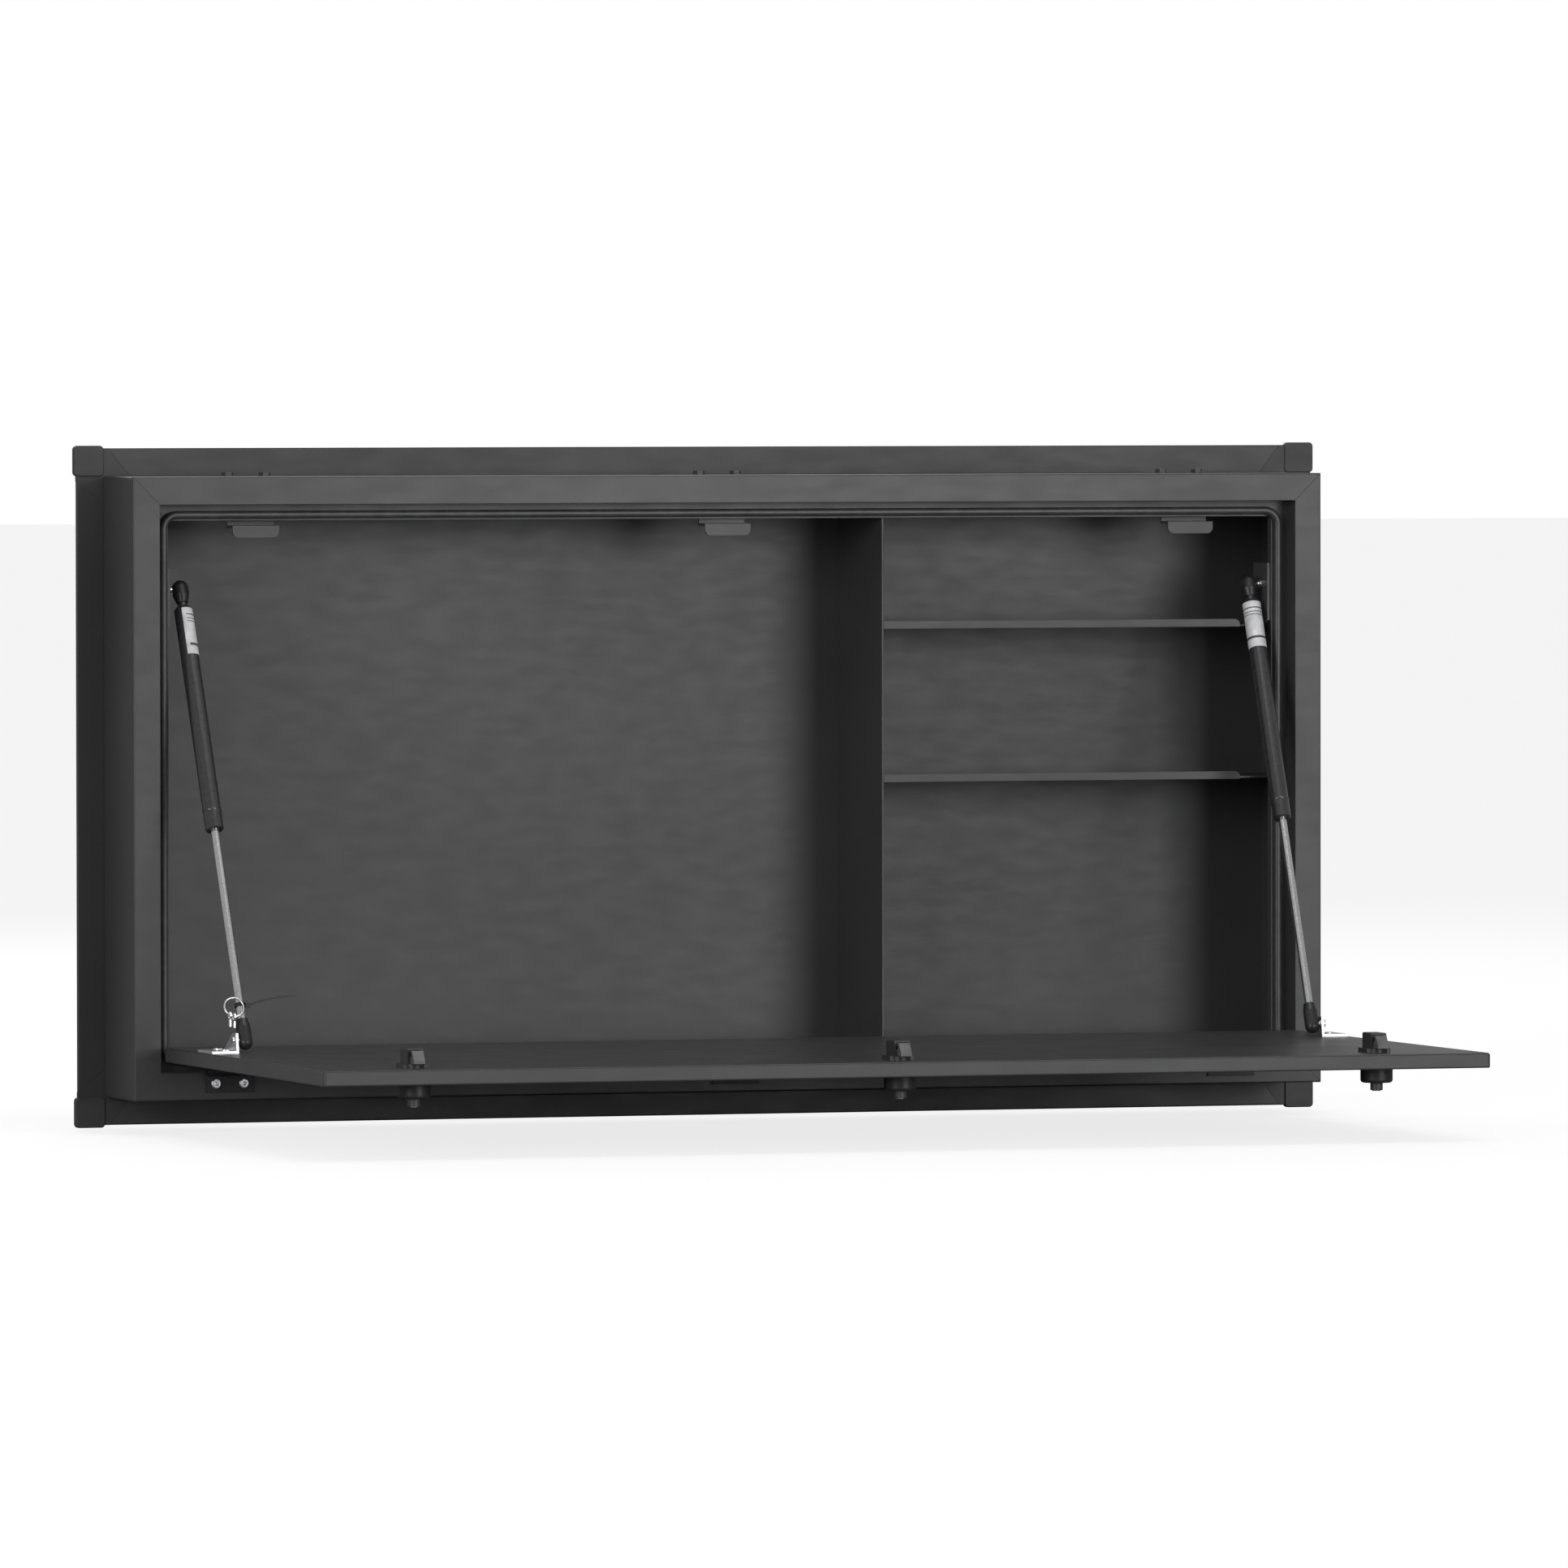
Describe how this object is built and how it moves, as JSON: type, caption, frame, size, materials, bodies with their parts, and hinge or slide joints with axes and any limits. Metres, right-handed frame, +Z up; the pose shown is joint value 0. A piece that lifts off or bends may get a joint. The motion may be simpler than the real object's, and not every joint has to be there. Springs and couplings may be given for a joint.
{
  "type": "truck tool box",
  "caption": "Shallow sheet-metal tool box let into a truck body, with a drop-down door on gas struts, slam latches and shelves behind a divider.",
  "frame": {"origin": "centre of the back panel's rear face", "axes": "+X along the box to the viewer's right, +Y into the truck body, +Z up; the door hangs open towards -Y"},
  "size_m": [1.2786, 0.7205, 0.6626],
  "materials": {
    "cabinet_sheet": "satin charcoal powder coat",
    "front_frame": "satin charcoal powder coat",
    "flange_bar": "satin charcoal powder coat",
    "corner_casting": "satin charcoal powder coat over a casting",
    "seal_rubber": "matt",
    "bracket_paint": "satin charcoal powder coat",
    "bracket_steel": "zinc plated",
    "fastener_zinc": "zinc plated",
    "fastener_black": "black zinc",
    "hinge_paint": "black",
    "rivet_alloy": "bright",
    "door_sheet": "satin charcoal powder coat",
    "latch_body": "satin black",
    "latch_bolt": "dark plated",
    "bezel_black": "semi-gloss black die casting",
    "button_black": "satin black",
    "lock_metal": "polished",
    "spring_steel": "satin",
    "strut_black": "gloss black",
    "strut_rod": "polished",
    "socket_plastic": "moulded, satin",
    "tie_nylon": "black nylon",
    "key_steel": "nickel plated"
  },
  "bodies": {
    "cabinet": {"wall_top": "cabinet_sheet", "wall_bottom": "cabinet_sheet", "wall_left": "cabinet_sheet", "wall_right": "cabinet_sheet", "back_panel": "cabinet_sheet", "front_frame_top": "front_frame", "front_frame_bottom": "front_frame", "front_frame_left": "front_frame", "front_frame_right": "front_frame", "flange_top": "flange_bar", "flange_bottom": "flange_bar", "flange_left": "flange_bar", "flange_right": "flange_bar", "corner_casting_top_left": "corner_casting", "corner_casting_top_right": "corner_casting", "corner_casting_bottom_left": "corner_casting", "corner_casting_bottom_right": "corner_casting", "door_seal": "seal_rubber", "divider": "cabinet_sheet", "shelf_upper": "cabinet_sheet", "shelf_lower": "cabinet_sheet", "strike_brackets": "bracket_paint", "strike_bolts": "fastener_black", "hinge_frame_leaves": "hinge_paint", "hinge_pins": "hinge_paint", "hinge_frame_rivets": "rivet_alloy", "strut_wall_brackets": "bracket_paint", "strut_wall_studs": "fastener_zinc"},
    "door": {"hinge_door_leaves": "hinge_paint", "hinge_door_rivets": "rivet_alloy", "door_outer_pan": "door_sheet", "door_inner_panel": "door_sheet", "door_strut_brackets": "bracket_steel", "door_strut_studs": "fastener_zinc", "door_bracket_rivets": "rivet_alloy", "latch_housings": "latch_body", "latch_springs": "spring_steel", "latch_bezels": "bezel_black"},
    "latch_bolt_left": {"latch_bolt_left": "latch_bolt"},
    "latch_button_left": {"latch_button_left": "button_black"},
    "lock_plug_left": {"latch_lock_plug_left": "lock_metal"},
    "latch_bolt_middle": {"latch_bolt_middle": "latch_bolt"},
    "latch_button_middle": {"latch_button_middle": "button_black"},
    "lock_plug_middle": {"latch_lock_plug_middle": "lock_metal"},
    "latch_bolt_right": {"latch_bolt_right": "latch_bolt"},
    "latch_button_right": {"latch_button_right": "button_black"},
    "lock_plug_right": {"latch_lock_plug_right": "lock_metal"},
    "strut_rod_left": {"strut_rod_left": "strut_rod", "strut_lower_socket_left": "socket_plastic", "cable_tie": "tie_nylon", "key_ring": "key_steel", "keys": "key_steel"},
    "strut_rod_right": {"strut_rod_right": "strut_rod", "strut_lower_socket_right": "socket_plastic"},
    "strut_tube_left": {"strut_tube_left": "strut_black", "strut_upper_socket_left": "socket_plastic"},
    "strut_tube_right": {"strut_tube_right": "strut_black", "strut_upper_socket_right": "socket_plastic"}
  },
  "joints": [
    {"name": "door_hinge", "type": "hinge", "parent": "cabinet", "child": "door", "pos_m": [0, -0.175, -0.273], "axis": [-1, 0, 0], "range_deg": [0, 90], "deforming": ["door_seal"]},
    {"name": "strut_pivot_left", "type": "hinge", "parent": "door", "child": "strut_rod_left", "pos_m": [-0.543, -0.3255, -0.2365], "axis": [1, 0, 0], "range_deg": [0, 112.7]},
    {"name": "strut_slide_left", "type": "slide", "parent": "strut_rod_left", "child": "strut_tube_left", "axis": [0.0137, -0.4229, -0.9061], "range_m": [0, 0.1583]},
    {"name": "strut_pivot_right", "type": "hinge", "parent": "door", "child": "strut_rod_right", "pos_m": [0.543, -0.3255, -0.2365], "axis": [1, 0, 0], "range_deg": [0, 112.7]},
    {"name": "strut_slide_right", "type": "slide", "parent": "strut_rod_right", "child": "strut_tube_right", "axis": [-0.0137, -0.4229, -0.9061], "range_m": [0, 0.1583]},
    {"name": "latch_button_left", "type": "slide", "parent": "door", "child": "latch_button_left", "axis": [0, 0, 1], "range_m": [0, 0.006], "stiffness_N_per_m": 800, "springref_m": -0.004, "deforming": ["latch_springs"]},
    {"name": "latch_bolt_left", "type": "slide", "parent": "door", "child": "latch_bolt_left", "axis": [0, 1, 0], "range_m": [0, 0.00861]},
    {"name": "lock_plug_left", "type": "hinge", "parent": "latch_button_left", "child": "lock_plug_left", "pos_m": [-0.48, -0.6775, -0.285], "axis": [0, 0, 1], "range_deg": [0, 90]},
    {"name": "latch_button_middle", "type": "slide", "parent": "door", "child": "latch_button_middle", "axis": [0, 0, 1], "range_m": [0, 0.006], "stiffness_N_per_m": 800, "springref_m": -0.004, "deforming": ["latch_springs"]},
    {"name": "latch_bolt_middle", "type": "slide", "parent": "door", "child": "latch_bolt_middle", "axis": [0, 1, 0], "range_m": [0, 0.00861]},
    {"name": "lock_plug_middle", "type": "hinge", "parent": "latch_button_middle", "child": "lock_plug_middle", "pos_m": [0, -0.6775, -0.285], "axis": [0, 0, 1], "range_deg": [0, 90]},
    {"name": "latch_button_right", "type": "slide", "parent": "door", "child": "latch_button_right", "axis": [0, 0, 1], "range_m": [0, 0.006], "stiffness_N_per_m": 800, "springref_m": -0.004, "deforming": ["latch_springs"]},
    {"name": "latch_bolt_right", "type": "slide", "parent": "door", "child": "latch_bolt_right", "axis": [0, 1, 0], "range_m": [0, 0.00861]},
    {"name": "lock_plug_right", "type": "hinge", "parent": "latch_button_right", "child": "lock_plug_right", "pos_m": [0.48, -0.6775, -0.285], "axis": [0, 0, 1], "range_deg": [0, 90]}
  ],
  "couplings": [
    {"joint": "strut_pivot_left", "follows": "door_hinge", "ratio": 1.2517},
    {"joint": "strut_slide_left", "follows": "door_hinge", "m_per_rad": 0.10065},
    {"joint": "strut_pivot_right", "follows": "door_hinge", "ratio": 1.2517},
    {"joint": "strut_slide_right", "follows": "door_hinge", "m_per_rad": 0.10065},
    {"joint": "latch_bolt_left", "follows": "latch_button_left", "ratio": 1.4333},
    {"joint": "latch_bolt_middle", "follows": "latch_button_middle", "ratio": 1.4333},
    {"joint": "latch_bolt_right", "follows": "latch_button_right", "ratio": 1.4333}
  ]
}
